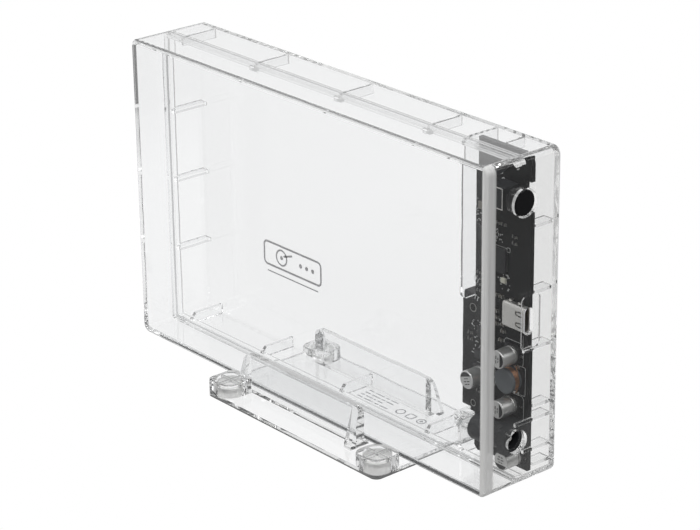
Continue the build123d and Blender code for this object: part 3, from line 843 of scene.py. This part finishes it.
def usb_legs():
    """Four soldered legs that hold the USB shell."""
    mesh = bmesh.new()
    low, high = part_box("usb_shell")
    for x in (low.x + 1.0 * MM, low.x + 5.2 * MM):
        for z in (low.z - 0.35 * MM, high.z - 0.02 * MM):
            add_tab(mesh, x, z, 1.1, 0.37, high=1.3, bevel=0.06)
    finished(mesh, "usb_legs", "steel", "case")


def usb_springs():
    """Dark cuts round the two springs in the front of the USB shell, measured from its open end."""
    low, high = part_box("usb_shell")
    cuts = Relief(Vector((high.x, low.y, middle_of(low, high).z)), ACROSS_X, UP_Z)
    root, bend, tip = -4.4, -2.9, -1.3
    width = 0.24
    for spring in (-1.9, 1.9):
        for side in (-1, 1):
            edge = spring + side * 0.8
            cuts.line((root, spring + side * 0.2), (bend, edge), width)
            cuts.line((bend, edge), (tip, edge), width)
    cuts.done("usb_spring_cuts", "black_ink", "connector_black")


def coil_leads():
    """The two ends of the winding, bent out to the coil's tabs."""
    mesh = bmesh.new()
    low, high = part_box("inductor_winding")
    middle = middle_of(low, high)
    radius = (high.x - low.x) / 2
    start = middle.y + 0.4 * MM
    end = BOARD_FACE - 0.8 * MM
    first_angle = 20
    sweep = 48
    steps = 8
    for side in (-1, 1):
        points = []
        for i in range(steps + 1):
            share = i / steps
            angle = math.radians(first_angle + sweep * share)
            reach = radius + 0.1 * MM + 0.9 * MM * share * share
            points.append(Vector((middle.x + reach * math.cos(angle), start + (end - start) * share,
                                  middle.z + side * reach * math.sin(angle))))
        add_tube(mesh, points, WIRE_RADIUS)
    bmesh.ops.recalc_face_normals(mesh, faces=mesh.faces)
    finished(mesh, "coil_leads", "copper", "case")


def can_marks():
    """Black polarity segment on the end of each can, with three broken plain dashes beside it."""
    steps = 16
    for number, turn in enumerate(CAN_STRIPES, start=1):
        low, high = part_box(f"capacitor_can_{number}")
        middle = middle_of(low, high)
        radius = (high.x - low.x) / MM / 2 - CAN_RIM
        a = math.radians(turn)
        across = Vector((math.cos(a), 0, math.sin(a)))
        up = Vector((-math.sin(a), 0, math.cos(a)))
        mark = Relief(Vector((middle.x, low.y, middle.z)), across, up)
        half = math.acos(SEGMENT_FROM)
        angles = [half * (2 * i / steps - 1) for i in range(steps + 1)]
        mark.prism([(radius * math.cos(angle), radius * math.sin(angle)) for angle in angles])
        for i, length in enumerate((2.4, 3.2, 2.0)):
            for part in (-0.28, 0.22):
                mark.bar(-1.5 + 0.95 * i, part * length, 0.34, 0.36 * length)
        mark.done(f"can_mark_{number}", "black_ink", "connector_black")


# ---------------------------------------------------------------- print on the clear parts
# Height of the case's inner floor, in millimetres.
CASE_FLOOR = 2.0


def drive_picture():
    """Wordless drive pictogram on the front panel: a case, a disc, an arm, three dots and a line."""
    picture = Relief(CORNER, ACROSS_X, UP_Z)
    picture.outline((73.5, 49.4), (104.5, 58.6), 2.0, 0.75)
    picture.ring(83.2, 54.0, 3.1, 2.45)
    picture.disc(83.2, 54.0, 0.75)
    picture.line((84.6, 54.9), (88.6, 56.2), 0.7)
    for i in range(3):
        picture.disc(93.4 + 3.2 * i, 54.0, 0.8)
    picture.bar(89.0, 47.4, 27.0, 0.45)
    picture.done("drive_picture", "grey_ink", "print_ink", "cover")


def small_print():
    """Rows of plain dashes and three plain shapes on the floor of the case."""
    rows = Relief(CORNER + UP_Z * CASE_FLOOR * MM, ACROSS_X, ACROSS_Y)
    for row, length in enumerate((14.0, 16.5, 12.0, 15.5, 16.0)):
        start = 99.5
        for part in (0.22, 0.34, 0.16, 0.28):
            rows.bar(start + part * length / 2, 18.4 + 1.9 * row, part * length - 0.8, 0.5)
            start += part * length
    rows.ring(120.4, 22.4, 1.9, 1.4)
    rows.outline((123.8, 20.6), (127.4, 24.2), 0.8, 0.5)
    rows.ring(131.0, 22.4, 1.9, 1.4)
    rows.bar(131.0, 22.4, 1.2, 1.2, 45)
    rows.done("small_print", "grey_ink", "print_ink")


def make_details():
    """Every piece that the CAD model doesn't have."""
    board_print()
    pads()
    end_caps()
    leads()
    switch_frame()
    usb_legs()
    usb_springs()
    coil_leads()
    can_marks()
    drive_picture()
    small_print()


LOOKS = make_materials()
make_studio()
dress_all()
make_details()
